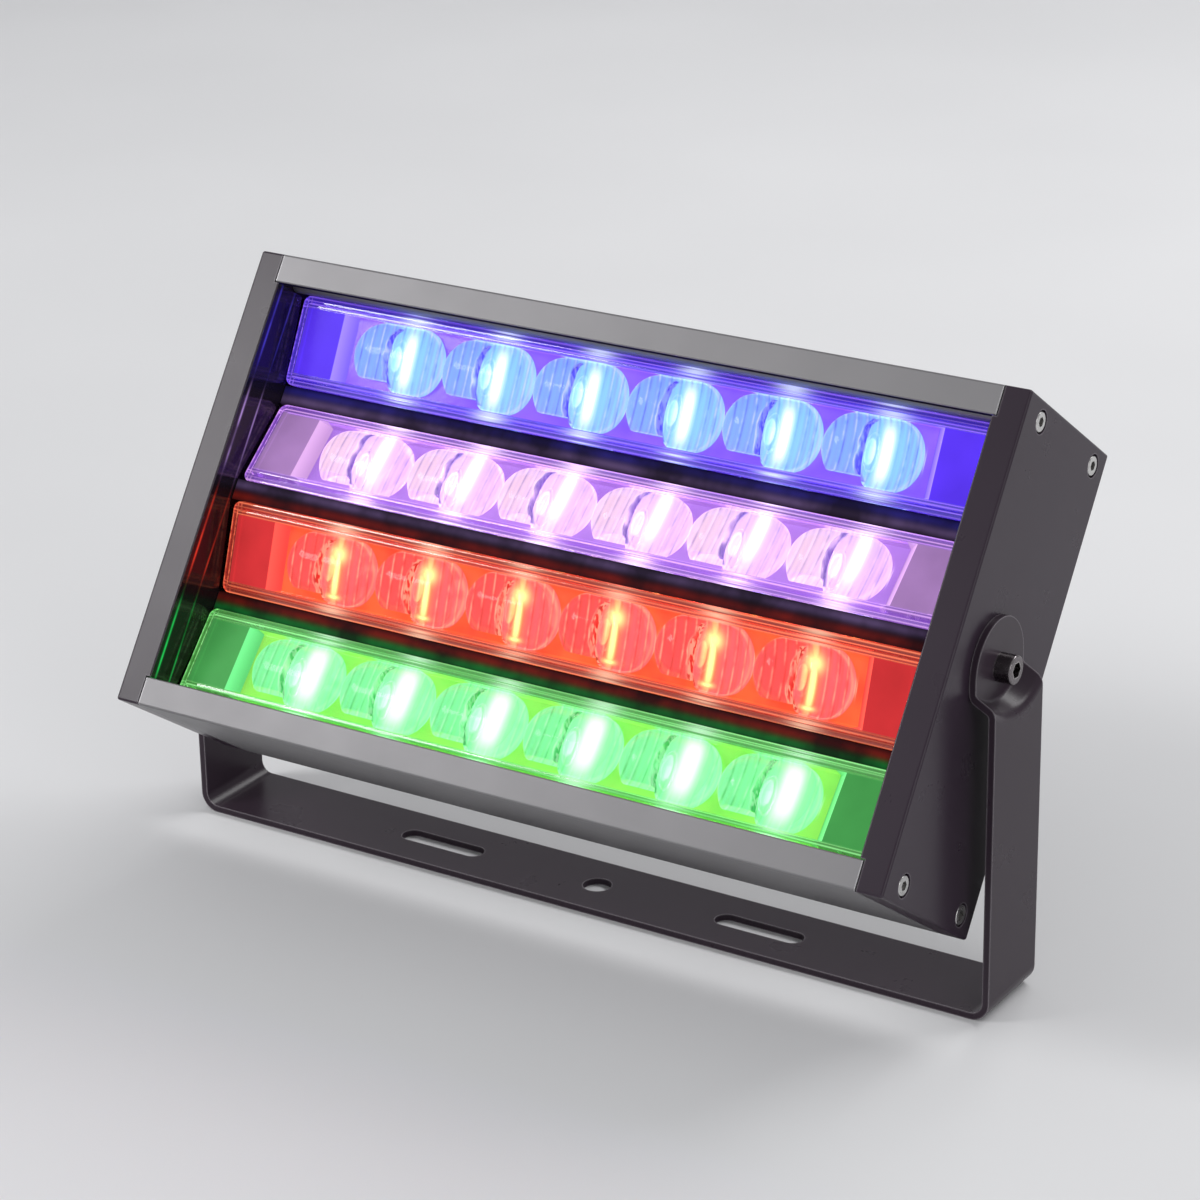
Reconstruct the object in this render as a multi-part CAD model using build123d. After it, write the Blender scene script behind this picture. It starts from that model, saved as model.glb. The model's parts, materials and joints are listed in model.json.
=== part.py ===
from build123d import *
import math
import os

os.makedirs("parts", exist_ok=True)

# All sizes in millimetres. X runs along the lamp, Y away from the viewer, Z up.
# The origin is the middle of the underside of the bracket.

# Bracket: one bent strip of steel. Its uprights stand outside the end caps, and each is
# set in at its top, over a cone-shaped ledge, to the flat pad that carries the pivot.
STRIP_W = 34.0
STRIP_T = 2.5
BEND_R = 7.0
PIVOT_Z = 121.4
PAD_SET_IN = 7.3
LEDGE_RISE = 14.6
LEDGE_R_PAD = 25.3
LEDGE_RUN = 3.2
LEDGE_BEND = 1.0
LEDGE_ROOM = 17.5
SLOT_X = 67.0
SLOT_L = 35.0
SLOT_D = 8.5
CENTRE_HOLE_D = 10.5

# Head: everything that tilts. a runs up the front, b out of it, both from the pivot.
HEAD_TILT = 34.8
HEAD_HALF = 155.0
FRONT_B = 30.5
BACK_B = -42.0
CORNER_R = 0.8

# Housing extrusion and its end caps.
WALL = 3.0
RAIL_W = 10.5
RAIL_EDGE_R = 0.6
REAR_IN = -28.0
FIN_T = 2.0
FIN_FIRST = 22.0
FIN_PITCH = 9.2
FIN_COUNT = 6
PORT_EDGE = 6.9
PORT_WALL = 1.0
GASKET_T = 0.5
GASKET_SET = 0.6
CAP_T = 9.5
CAP_EDGE_R = 1.0
CAP_POCKET = 4.5
CAP_POCKET_TOP = -6.0
CAP_POCKET_R = 4.0
CAP_POCKET_WALL = 1.6
SPIGOT_D = 2.0
SPIGOT_GAP = 0.3

# Bars: a flat plate each, tilted about its long axis, with lands of the housing between.
PLATE_H = 33.4
OUTER_TILT = 8.0
INNER_TILT = 16.5
BAR_B = 12.7
CREST_LAND = 4.1
VALLEY_LAND = 6.65
EDGE_LAND = 9.65
CREST_RISE = 4.8
VALLEY_DROP = 5.3
EDGE_RISE = 1.3

# Lens plate, in the bar's own frame: v across the bar, w out of it, w = 0 on the flange.
PLATE_END_GAP = 1.5
PLATE_R = 3.0
PLATE_EDGE_R = 0.4
SKIRT_T = 2.2
LID_END = 3.0
LID_SIDE = 2.5
LID_W = 2.0
LID_R = 2.0
LID_EDGE_R = 0.5
END_BLOCK = 17.2
RECESS_SLOPE = 3.8
RIM_W = 1.9
RECESS_W = -3.0
FLOOR_T = 3.0
END_POCKET_IN = 2.0
END_WALL = 2.5
END_SIDE = 2.2
END_SKIN = 2.0
LENS_COUNT = 6
LENS_END_GAP = 3.15
LOBE_X = 8.2
LOBE_R = 10.4
LOBE_V = 12.1
LOBE_FLAT = 8.7
SLIT_HALF = 1.2
SLIT_FOOT = 5.0
LED_DOME_R = 3.4

# Board and gasket under each plate.
BED_W = -8.6
BED_GAP = 0.3
WEB_T = 3.0
BAR_GASKET_T = 1.0
BAR_GASKET_IN = 0.2
BOARD_T = 1.6
BOARD_END_GAP = 5.8
BOARD_SIDE_GAP = 1.0
BOARD_SCREW_END = 6.0
BOARD_SCREW_SIDE = 5.5
BOARD_SCREW_L = 4.8
LEAD_HOLE_R = 2.1
LED_SIDE = 3.5
LED_T = 0.6
LED_LENS_R = 1.3
LED_LENS_T = 0.25

# Screws: shank and head radii, head heights, keys across flats, and the gaps round them.
FIT = 0.05
HOLE_GAP = 0.3
PAD_FIT = 0.08
KEY_DEPTH = 0.55
M3_R = 1.5
M3_HEAD_R = 2.75
M3_HEAD_H = 1.9
M3_KEY = 2.0
M3_ROUND = 0.5
M4_R = 2.0
M4_HEAD_R = 3.5
M4_HEAD_H = 4.0
M4_KEY = 3.0
M4_ROUND = 0.5
M6_R = 3.0
M6_HEAD_R = 5.0
M6_HEAD_H = 6.0
M6_KEY = 5.0
M6_ROUND = 0.6
CAP_SCREW_L = 18.0
CAP_SCREW_SINK = 0.1
COUNTERBORE_GAP = 0.6

# Tilting joint.
PIVOT_BOLT_L = 12.0
FRICTION_R = 12.0
FRICTION_T = 1.0
FRICTION_PROUD = 0.2
FRICTION_GAP = 0.1
INSERT_R = 5.0
INSERT_SKIN = 1.2
PIVOT_BOSS_R = 15.0

# Gear inside the housing: tray in its grooves, and what is screwed down on it.
TRAY_T = 1.5
TRAY_ROOM = 4.0
TRAY_END_GAP = 2.5
TRAY_HOLE_R = 14.0
TRAY_SCREW_PROUD = 1.5
GROOVE_D = 2.5
GROOVE_RIB = 1.5
GROOVE_GAP = 0.1
DRIVER_H = 54.0
DRIVER_T = 16.5
DRIVER_R = 1.5
DRIVER_ROOM = 14.0
DRIVER_SCREW_SIDE = 6.0
FOOT_L = 8.0
FOOT_T = 1.5
CONTROL_L = 52.0
CONTROL_H = 58.0
CONTROL_ROOM = 18.0
CONTROL_INSET = 4.0
CONTROL_SCREW_END = 12.0
SPACER_T = 5.0
SPACER_R = 3.0
CONNECTOR = (8.0, 9.0, 6.0)
CONNECTOR_PITCH = 13.0
PLUG = (10.0, 12.0)
TERMINAL_L = 14.0
TERMINAL_H = 34.0
TERMINAL_T = 12.0
TERMINAL_ROOM = 24.0
TERMINAL_GAP = 16.0
TERMINAL_FOOT = 6.0
TERMINAL_FOOT_T = 4.0
TERMINAL_PITCH = 7.0
TERMINAL_WELL_R = 1.8
TERMINAL_WELL = 7.0
TERMINAL_WAY_R = 1.6
LEAD_START = 5.0
WIRE_R = 0.7
WIRE_GAP = 2.2
WIRE_BEND = 3.0
WIRE_DROP = 5.0
WIRE_TURN = 8.0
WIRE_RUN = 20.0
SUPPLY_GAP = 4.0

# Chips and coil on the control board: start along it, middle across it, length, width, rise.
CHIPS = ((22.0, -8.0, 8.0, 8.0, 1.2), (22.0, 6.5, 6.0, 5.0, 1.6), (32.0, 16.5, 9.0, 9.0, 5.0))
CAN_X = 36.0
CAN_A = (-20.0, -11.0)
CAN_R = 3.5
CAN_T = 8.0

# Cable gland and vent plug.
GLAND_END = 41.0
GLAND_R = 8.0
GLAND_AF = 22.0
GLAND_FLANGE_T = 5.0
GLAND_SEAL_T = 1.5
GLAND_SEAL_R = 10.8
GLAND_INSIDE = 9.0
GLAND_NECK = 6.5
GLAND_NUT_T = 4.0
GLAND_BORE_R = 4.5
SEAL_BORE_R = 3.5
SEAL_R = 6.3
DOME_AF = 20.0
DOME_L = 14.0
DOME_NOSE = 5.0
DOME_STEP = 0.5
DOME_ROUND = 3.0
VENT_END = 37.0
VENT_R = 6.0
VENT_FLANGE_R = 9.5
VENT_FLANGE_T = 4.0
VENT_ROUND = 1.0
VENT_NUT_T = 3.0
VENT_NUT_AF = 17.0

# Cuts run this far past the face that they open.
OVER = 1.0


def across(tilt):
    """Half a plate's height, seen square to the front."""
    return PLATE_H / 2 * math.cos(math.radians(tilt))


# Sizes that follow from those above: across the head, from its middle outwards.
INNER_A = CREST_LAND + across(INNER_TILT)
VALLEY_A = INNER_A + across(INNER_TILT) + VALLEY_LAND / 2
OUTER_A = VALLEY_A + VALLEY_LAND / 2 + across(OUTER_TILT)
HALF_A = OUTER_A + across(OUTER_TILT) + EDGE_LAND
OPEN_A = HALF_A - RAIL_W
PORT_A = HALF_A - PORT_EDGE
BARS = {
    "blue": (OUTER_A, OUTER_TILT),
    "white": (INNER_A, -INNER_TILT),
    "red": (-INNER_A, INNER_TILT),
    "green": (-OUTER_A, -OUTER_TILT),
}

# Along the lamp, from the end caps inwards and outwards.
CAP_INNER = HEAD_HALF - CAP_T
SPIGOT_INNER = CAP_INNER - SPIGOT_D
HOUSING_HALF = CAP_INNER - GASKET_T
PAD_IN = HEAD_HALF + FRICTION_PROUD
PAD_OUT = PAD_IN + STRIP_T
STRIP_OUT = PAD_OUT + PAD_SET_IN
STRIP_IN = STRIP_OUT - STRIP_T
RECESS_FLOOR = PAD_IN - FRICTION_T
CAP_SCREW_SEAT = HEAD_HALF - CAP_SCREW_SINK - M4_HEAD_H
PLATE_L = 2 * (SPIGOT_INNER - PLATE_END_GAP)
LID_L = PLATE_L - 2 * LID_END
LID_H = PLATE_H - 2 * LID_SIDE
RECESS_TOP = LID_L / 2 - END_BLOCK
RECESS_FOOT = RECESS_TOP - RECESS_SLOPE
RECESS_H = LID_H - 2 * RIM_W
END_POCKET = (RECESS_FOOT + END_POCKET_IN, LID_L / 2 - END_WALL)
END_POCKET_H = LID_H - 2 * END_SIDE
LENS_REACH = RECESS_FOOT - LENS_END_GAP - LOBE_X - LOBE_R
LENS_X = [LENS_REACH * (2 * i / (LENS_COUNT - 1) - 1) for i in range(LENS_COUNT)]
BOARD_L = PLATE_L - 2 * (SKIRT_T + BOARD_END_GAP)
BOARD_H = PLATE_H - 2 * (SKIRT_T + BOARD_SIDE_GAP)
BOARD_SCREW_X = BOARD_L / 2 - BOARD_SCREW_END
BOARD_SCREW_V = BOARD_H / 2 - BOARD_SCREW_SIDE
LEAD_X = -(BOARD_L + BOARD_END_GAP) / 2
TRAY_HALF = HOUSING_HALF - TRAY_END_GAP
GLAND_X = HEAD_HALF - GLAND_END
VENT_X = VENT_END - HEAD_HALF
TERMINAL_X = (GLAND_X - TERMINAL_ROOM - TERMINAL_L, GLAND_X - TERMINAL_ROOM)
CONTROL_X = (VENT_X + CONTROL_ROOM, VENT_X + CONTROL_ROOM + CONTROL_L)
DRIVER_X = (CONTROL_X[1] + DRIVER_ROOM, TERMINAL_X[0] - TERMINAL_GAP)

# Up the bracket.
LEDGE_Z = PIVOT_Z + LEDGE_RISE
LEDGE_R_STRIP = LEDGE_R_PAD + LEDGE_RUN
LEDGE_SLOPE = LEDGE_RUN / PAD_SET_IN
EAR_FOOT = LEDGE_Z - LEDGE_R_STRIP - LEDGE_ROOM
EAR_TOP = PIVOT_Z + STRIP_W

# Through the head, from the rear wall to the bars' covers.
REAR_OUT = REAR_IN - WALL
CREST_B = BAR_B + CREST_RISE
VALLEY_B = BAR_B - VALLEY_DROP
EDGE_B = BAR_B + EDGE_RISE
PORT_R = M4_R + PORT_WALL
PORT_B = (EDGE_B + PORT_R, REAR_OUT - PORT_WALL)
POCKET_A = PORT_A - PORT_R - CAP_POCKET_WALL
BED_HALF = PLATE_H / 2 + BED_GAP
BOARD_TOP = BED_W + BOARD_T
SKIRT_W = BED_W + BAR_GASKET_T
UNDER_W = RECESS_W - FLOOR_T
LED_TOP = BOARD_TOP + LED_T
TRAY_B = REAR_IN + TRAY_ROOM
TRAY_TOP = TRAY_B + TRAY_T
CONTROL_B = TRAY_TOP + SPACER_T
CONTROL_TOP = CONTROL_B + BOARD_T
CONNECTOR_A = [(i - (len(BARS) - 1) / 2) * CONNECTOR_PITCH for i in range(len(BARS))]
DRIVER_SCREW_X = (DRIVER_X[0] - FOOT_L / 2, DRIVER_X[1] + FOOT_L / 2)
DRIVER_SCREW_A = DRIVER_H / 2 - DRIVER_SCREW_SIDE
CONTROL_SCREW_X = (CONTROL_X[0] + CONTROL_SCREW_END, CONTROL_X[1] - CONTROL_INSET)
CONTROL_SCREW_A = CONTROL_H / 2 - CONTROL_INSET
TERMINAL_SCREW_A = (TERMINAL_H - TERMINAL_FOOT) / 2
GLAND_FACE = REAR_OUT - GLAND_SEAL_T
HEAD = Pos(0, 0, PIVOT_Z) * Rot(-HEAD_TILT, 0, 0)


def slab(points, x0, x1):
    """Solid from x0 to x1 whose section runs through the (a, b) points."""
    face = Face(Wire.make_polygon([Vector(x0, -b, a) for a, b in points], close=True))
    return extrude(face, x1 - x0, dir=(1, 0, 0))


def block(x0, x1, a0, a1, b0, b1):
    return Pos((x0 + x1) / 2, -(b0 + b1) / 2, (a0 + a1) / 2) * Box(x1 - x0, b1 - b0, a1 - a0)


def rounded(length, height, radius, b0, b1):
    """Plate with rounded corners, flat across b, centred on the x axis."""
    face = Plane.XZ * RectangleRounded(length, height, radius)
    return Pos(0, -b0, 0) * extrude(face, b1 - b0, dir=(0, -1, 0))


def rod_x(x0, x1, a, b, radius):
    return Pos((x0 + x1) / 2, -b, a) * Rot(0, 90, 0) * Cylinder(radius, x1 - x0)


def rod_b(x, a, b0, b1, radius):
    return Pos(x, -(b0 + b1) / 2, a) * Rot(90, 0, 0) * Cylinder(radius, b1 - b0)


def hex_b(x, a, b0, b1, across):
    face = Plane.XZ * RegularPolygon(across / 2, 6, major_radius=False)
    return Pos(x, -b0, a) * extrude(face, b1 - b0, dir=(0, -1, 0))


def mirrored(shape):
    return mirror(shape, about=Plane.XY)


def left_right(build):
    """The same piece at both ends of the lamp: right as built, left mirrored."""
    right = build()
    return {"right": right, "left": mirror(right, about=Plane.YZ)}


def group(shapes):
    return Compound(children=[s.solid() for s in shapes])


def screw(head_r, head_h, shank_r, length, key, rounding):
    """Socket screw: underside of the head on the XY plane, shank downwards."""
    head = Pos(0, 0, head_h / 2) * Cylinder(head_r, head_h)
    head = fillet(head.edges().sort_by(Axis.Z)[-1], rounding)
    recess = extrude(RegularPolygon(key / 2, 6, major_radius=False), head_h * KEY_DEPTH)
    head -= Pos(0, 0, head_h * (1 - KEY_DEPTH)) * recess
    shank = Pos(0, 0, -length / 2) * Cylinder(shank_r, length)
    return head + chamfer(shank.edges().sort_by(Axis.Z)[0], shank_r * 0.2)


def bar_place(a, tilt):
    return Pos(0, -BAR_B, a) * Rot(tilt, 0, 0)


def bar_point(a, tilt, v, w):
    """Where a point (v, w) of a bar lies in the head's (a, b)."""
    t = math.radians(tilt)
    return (a + v * math.cos(t) - w * math.sin(t), BAR_B + v * math.sin(t) + w * math.cos(t))


# Bracket.


def dished(face_x, strip_x, radius, pad_bend, strip_bend):
    """Everything on the lamp's side of one face of the sheet, in the upright's upper part."""
    reach = strip_x - face_x + OVER
    dish = Cone(radius, radius + LEDGE_SLOPE * reach, reach)
    depth = 2 * (PAD_SET_IN + STRIP_T)
    solid = Box(depth, STRIP_W + 2 * STRIP_T, EAR_TOP - EAR_FOOT)
    solid = Pos(strip_x - depth / 2, 0, (EAR_FOOT + EAR_TOP) / 2) * solid
    solid -= Pos(face_x + reach / 2, 0, LEDGE_Z) * Rot(0, 90, 0) * dish
    creases = solid.edges().filter_by(GeomType.CIRCLE).sort_by(Axis.X)
    solid = fillet(creases[0], pad_bend)
    creases = solid.edges().filter_by(GeomType.CIRCLE).sort_by(Axis.X)
    return fillet(creases[-1], strip_bend)


def bracket():
    """Base and two uprights of one strip, each upright set in at its top as the ear."""
    outside = dished(PAD_OUT, STRIP_OUT, LEDGE_R_PAD, LEDGE_BEND, LEDGE_BEND + STRIP_T)
    inner_r = LEDGE_R_PAD + STRIP_T * math.sqrt(1 + LEDGE_SLOPE**2) - LEDGE_SLOPE * STRIP_T
    inside = dished(PAD_IN, STRIP_IN, inner_r, LEDGE_BEND + STRIP_T, LEDGE_BEND)
    outline = Pos(0, (EAR_FOOT + PIVOT_Z) / 2) * Rectangle(STRIP_W, PIVOT_Z - EAR_FOOT)
    outline += Pos(0, PIVOT_Z) * Circle(STRIP_W / 2)
    ear = (outside - inside) & extrude(Plane.YZ * outline, STRIP_OUT + OVER)
    bore = rod_x(PAD_IN - OVER, PAD_OUT + OVER, 0, 0, M6_R + PAD_FIT)
    ear -= Pos(0, 0, PIVOT_Z) * bore
    outer = Pos(0, EAR_FOOT / 2) * Rectangle(2 * STRIP_OUT, EAR_FOOT)
    outer = fillet(outer.vertices().group_by(Axis.Y)[0], BEND_R)
    inner = Pos(0, STRIP_T + EAR_FOOT / 2) * Rectangle(2 * STRIP_IN, EAR_FOOT)
    inner = fillet(inner.vertices().group_by(Axis.Y)[0], BEND_R - STRIP_T)
    base = extrude(Plane.XZ * (outer - inner), STRIP_W / 2, both=True)
    for x in (-SLOT_X, SLOT_X):
        base -= Pos(x, 0, STRIP_T / 2) * extrude(SlotOverall(SLOT_L, SLOT_D), STRIP_T, both=True)
    base -= Pos(0, 0, STRIP_T / 2) * Cylinder(CENTRE_HOLE_D / 2, 2 * STRIP_T)
    return base + ear + mirror(ear, about=Plane.YZ)


# Housing, end caps and their gaskets.


def web():
    """Zigzag carrier of the four bars, with a flat bed for each and lands between them."""
    outer, inner = BARS["blue"], BARS["white"]
    back_w = BED_W - WEB_T
    back = [
        (HALF_A - WALL / 2, bar_point(*outer, PLATE_H / 2, back_w)[1]),
        bar_point(*outer, PLATE_H / 2, back_w),
        bar_point(*outer, -PLATE_H / 2, back_w),
        bar_point(*inner, PLATE_H / 2, back_w),
        (0.0, bar_point(*inner, -PLATE_H / 2, back_w)[1]),
    ]
    front = [
        (0.0, CREST_B),
        (INNER_A, CREST_B),
        (INNER_A, VALLEY_B),
        (OUTER_A, VALLEY_B),
        (OUTER_A, EDGE_B),
        (HALF_A - WALL / 2, EDGE_B),
    ]
    half = slab(back + front, -HOUSING_HALF, HOUSING_HALF)
    length = HOUSING_HALF + OVER
    for place in (outer, inner):
        half -= bar_place(*place) * block(-length, length, -BED_HALF, BED_HALF, BED_W, FRONT_B)
    return half + mirrored(half)


def ports(x0, x1, radius):
    """One round bar along the lamp at each of the four end-cap screws."""
    return [rod_x(x0, x1, s * PORT_A, b, radius) for s in (1, -1) for b in PORT_B]


def front_edges(solid, a):
    """The long edges of the front face at a and -a."""
    front = solid.edges().filter_by(Axis.X).filter_by_position(Axis.Y, -FRONT_B, -FRONT_B)
    return front.filter_by_position(Axis.Z, a, a) + front.filter_by_position(Axis.Z, -a, -a)


def tube(ribs):
    """Outer walls, rails, rear wall, carrier and screw ports; ribs adds fins and grooves."""
    x0, x1 = -HOUSING_HALF, HOUSING_HALF
    lip_in = FRONT_B - WALL
    solid = block(x0, x1, -HALF_A, HALF_A, BACK_B, FRONT_B)
    solid = fillet(solid.edges().filter_by(Axis.X), CORNER_R)
    cut = (x0 - OVER, x1 + OVER)
    solid -= block(*cut, -HALF_A + WALL, HALF_A - WALL, REAR_IN, lip_in)
    solid -= block(*cut, -OPEN_A, OPEN_A, REAR_IN, FRONT_B + OVER)
    solid = fillet(front_edges(solid, OPEN_A), RAIL_EDGE_R)
    solid -= block(*cut, -HALF_A + WALL, HALF_A - WALL, BACK_B - OVER, REAR_OUT)
    solid += web()
    for port in ports(x0, x1, PORT_R):
        solid += port
    for s in (1, -1):
        tie = sorted((s * PORT_A, s * (HALF_A - WALL / 2)))
        solid += block(x0, x1, *tie, EDGE_B - WALL / 2, PORT_B[0] + PORT_R)
        if not ribs:
            continue
        for i in range(FIN_COUNT):
            a = s * (FIN_FIRST + i * FIN_PITCH)
            solid += block(x0, x1, a - FIN_T / 2, a + FIN_T / 2, BACK_B, REAR_IN - WALL / 2)
        rib = sorted((s * (HALF_A - WALL - GROOVE_D), s * (HALF_A - WALL / 2)))
        solid += block(x0, x1, *rib, TRAY_B - GROOVE_RIB, TRAY_B)
        solid += block(x0, x1, *rib, TRAY_TOP + GROOVE_GAP, TRAY_TOP + GROOVE_GAP + GROOVE_RIB)
    for port in ports(*cut, M4_R + FIT):
        solid -= port
    return solid


def housing():
    """The extrusion, drilled for the board screws, the leads, the gland and the vent."""
    solid = tube(True)
    for place in BARS.values():
        for x in (-BOARD_SCREW_X, BOARD_SCREW_X):
            for v in (-BOARD_SCREW_V, BOARD_SCREW_V):
                solid -= bar_place(*place) * rod_b(x, v, BED_W - 2 * WEB_T, 0, M3_R + FIT)
        solid -= bar_place(*place) * rod_b(LEAD_X, 0, BED_W - 2 * WEB_T, 0, LEAD_HOLE_R)
    solid -= rod_b(GLAND_X, 0, REAR_OUT - OVER, REAR_IN + OVER, GLAND_R + FIT)
    solid -= rod_b(VENT_X, 0, REAR_OUT - OVER, REAR_IN + OVER, VENT_R + FIT)
    return solid


def gasket():
    """Sheet gasket between the right end of the housing and its cap."""
    ring = tube(False) & block(0, GASKET_T, -HALF_A, HALF_A, REAR_OUT, FRONT_B - GASKET_SET)
    ring = ring.moved(Pos(HOUSING_HALF, 0, 0))
    for port in ports(HOUSING_HALF - OVER, CAP_INNER + OVER, M4_R + HOLE_GAP):
        ring -= port
    return ring


def end_cap():
    """Right-hand cap: plate, spigot into the front opening, pivot boss in the middle."""
    solid = block(CAP_INNER, HEAD_HALF, -HALF_A, HALF_A, BACK_B, FRONT_B)
    solid = fillet(solid.edges().filter_by(Axis.X), CORNER_R)
    solid = fillet(solid.faces().sort_by(Axis.X)[-1].edges(), CAP_EDGE_R)
    edge = OPEN_A - SPIGOT_GAP
    flat = VALLEY_LAND / 2 + SPIGOT_GAP
    slope = [
        (edge, EDGE_B + SPIGOT_GAP),
        (VALLEY_A + flat, VALLEY_B + SPIGOT_GAP),
        (VALLEY_A - flat, VALLEY_B + SPIGOT_GAP),
        (CREST_LAND + SPIGOT_GAP, CREST_B + SPIGOT_GAP),
    ]
    lower = [(-a, b) for a, b in reversed(slope)]
    outline = [(edge, FRONT_B)] + slope + lower + [(-edge, FRONT_B)]
    spigot = slab(outline, SPIGOT_INNER, CAP_INNER + OVER)
    lip = spigot.faces().sort_by(Axis.X)[0].edges().sort_by(Axis.Y)[0]
    solid += fillet(lip, RAIL_EDGE_R)
    pocket = block(
        CAP_INNER - OVER, CAP_INNER + CAP_POCKET, -POCKET_A, POCKET_A, REAR_IN, CAP_POCKET_TOP
    )
    pocket = fillet(pocket.edges().filter_by(Axis.X), CAP_POCKET_R)
    solid -= pocket - rod_x(CAP_INNER - 2 * OVER, HEAD_HALF, 0, 0, PIVOT_BOSS_R)
    solid -= rod_x(RECESS_FLOOR, HEAD_HALF + OVER, 0, 0, FRICTION_R + FRICTION_GAP)
    solid -= rod_x(CAP_INNER + INSERT_SKIN, HEAD_HALF, 0, 0, INSERT_R)
    solid -= rod_x(CAP_INNER - OVER, HEAD_HALF, 0, 0, M6_R + HOLE_GAP)
    for port in ports(SPIGOT_INNER - OVER, HEAD_HALF + OVER, M4_R + HOLE_GAP):
        solid -= port
    for bore in ports(CAP_SCREW_SEAT, HEAD_HALF + OVER, M4_HEAD_R + COUNTERBORE_GAP):
        solid -= bore
    return solid


def cap_screws():
    """Four socket screws at one end, sunk in their counterbores."""
    one = Rot(0, 90, 0) * screw(M4_HEAD_R, M4_HEAD_H, M4_R, CAP_SCREW_L, M4_KEY, M4_ROUND)
    return group([Pos(CAP_SCREW_SEAT, -b, s * PORT_A) * one for s in (1, -1) for b in PORT_B])


# Tilting joint.


def pivot_bolt():
    one = screw(M6_HEAD_R, M6_HEAD_H, M6_R, PIVOT_BOLT_L, M6_KEY, M6_ROUND)
    return Pos(PAD_OUT, 0, 0) * Rot(0, 90, 0) * one


def friction_washer():
    bore = rod_x(RECESS_FLOOR - OVER, PAD_OUT, 0, 0, M6_R + PAD_FIT)
    return rod_x(RECESS_FLOOR, PAD_IN, 0, 0, FRICTION_R) - bore


def pivot_insert():
    x0 = CAP_INNER + INSERT_SKIN
    bore = rod_x(x0 - OVER, HEAD_HALF, 0, 0, M6_R + FIT)
    return rod_x(x0, RECESS_FLOOR, 0, 0, INSERT_R) - bore


# Bars: every piece is drawn in the bar's own frame and then placed.


def lens(x):
    """Long rounded dome over one LED, slit across its middle, its left half cut flat below."""
    arc = EllipticalCenterArc((0, 0), LOBE_R, LOBE_V, start_angle=-90, arc_size=180)
    half = make_face(arc + Line((0, -LOBE_V), (0, LOBE_V)))
    end = Rot(0, 0, -90) * revolve(Plane.XZ * half, Axis.Z, 180)
    ends = [Pos(LOBE_X, 0, 0) * end, Pos(-LOBE_X, 0, 0) * Rot(0, 0, 180) * end]
    middle = extrude(Plane.YZ * Ellipse(LOBE_R, LOBE_V), LOBE_X, both=True)
    dome = Pos(x, -RECESS_W, 0) * (ends[0] + middle + ends[1])
    reach = LOBE_X + 2 * LOBE_R
    dome &= block(x - reach, x + reach, -2 * LOBE_V, 2 * LOBE_V, RECESS_W - FLOOR_T / 2, FRONT_B)
    foot = RECESS_W + SLIT_FOOT
    wide = SLIT_HALF * (LOBE_R + OVER - SLIT_FOOT) / (LOBE_R - SLIT_FOOT)
    section = [(x, foot), (x + wide, RECESS_W + LOBE_R + OVER), (x - wide, RECESS_W + LOBE_R + OVER)]
    face = Face(Wire.make_polygon([Vector(u, -w, -LOBE_V) for u, w in section], close=True))
    dome -= extrude(face, 2 * LOBE_V, dir=(0, 0, 1))
    return dome - block(x - reach, x, -2 * LOBE_V, -LOBE_FLAT, RECESS_W, FRONT_B)


def lens_plate():
    """Clear moulding: flange on a skirt, raised lid, sunk middle with the lenses on it."""
    solid = rounded(PLATE_L, PLATE_H, PLATE_R, SKIRT_W, 0)
    solid = fillet(solid.faces().sort_by(Axis.Y)[0].edges(), PLATE_EDGE_R)
    inside = (PLATE_L - 2 * SKIRT_T, PLATE_H - 2 * SKIRT_T, PLATE_R - SKIRT_T)
    solid -= rounded(*inside, SKIRT_W - OVER, UNDER_W)
    lid = rounded(LID_L, LID_H, LID_R, UNDER_W / 2, LID_W)
    solid += fillet(lid.faces().sort_by(Axis.Y)[0].edges(), LID_EDGE_R)
    section = [(RECESS_FOOT, RECESS_W), (RECESS_TOP, LID_W), (RECESS_TOP, LID_W + OVER)]
    outline = section + [(-x, w) for x, w in reversed(section)]
    face = Face(Wire.make_polygon([Vector(x, -w, -RECESS_H / 2) for x, w in outline], close=True))
    solid -= extrude(face, RECESS_H, dir=(0, 0, 1))
    for s in (1, -1):
        ends = sorted(s * x for x in END_POCKET)
        half = END_POCKET_H / 2
        solid -= block(*ends, -half, half, UNDER_W - OVER, LID_W - END_SKIN)
    for x in LENS_X:
        solid += lens(x)
        solid -= Pos(x, -UNDER_W, 0) * Sphere(LED_DOME_R)
    return solid


def bar_gasket():
    """Ring between the skirt of a lens plate and its bed."""
    cut = 2 * BAR_GASKET_IN
    width = 2 * (SKIRT_T - BAR_GASKET_IN)
    ring = rounded(PLATE_L - cut, PLATE_H - cut, PLATE_R, BED_W, SKIRT_W)
    inside = (PLATE_L - cut - width, PLATE_H - cut - width, PLATE_R - SKIRT_T)
    return ring - rounded(*inside, BED_W - OVER, 0)


def led_board():
    solid = block(-BOARD_L / 2, BOARD_L / 2, -BOARD_H / 2, BOARD_H / 2, BED_W, BOARD_TOP)
    for x in (-BOARD_SCREW_X, BOARD_SCREW_X):
        for v in (-BOARD_SCREW_V, BOARD_SCREW_V):
            solid -= rod_b(x, v, BED_W - OVER, 0, M3_R + HOLE_GAP)
    return solid


def leds():
    one = block(-LED_SIDE / 2, LED_SIDE / 2, -LED_SIDE / 2, LED_SIDE / 2, BOARD_TOP, LED_TOP)
    one += rod_b(0, 0, LED_TOP, LED_TOP + LED_LENS_T, LED_LENS_R)
    return group([Pos(x, 0, 0) * one for x in LENS_X])


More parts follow.
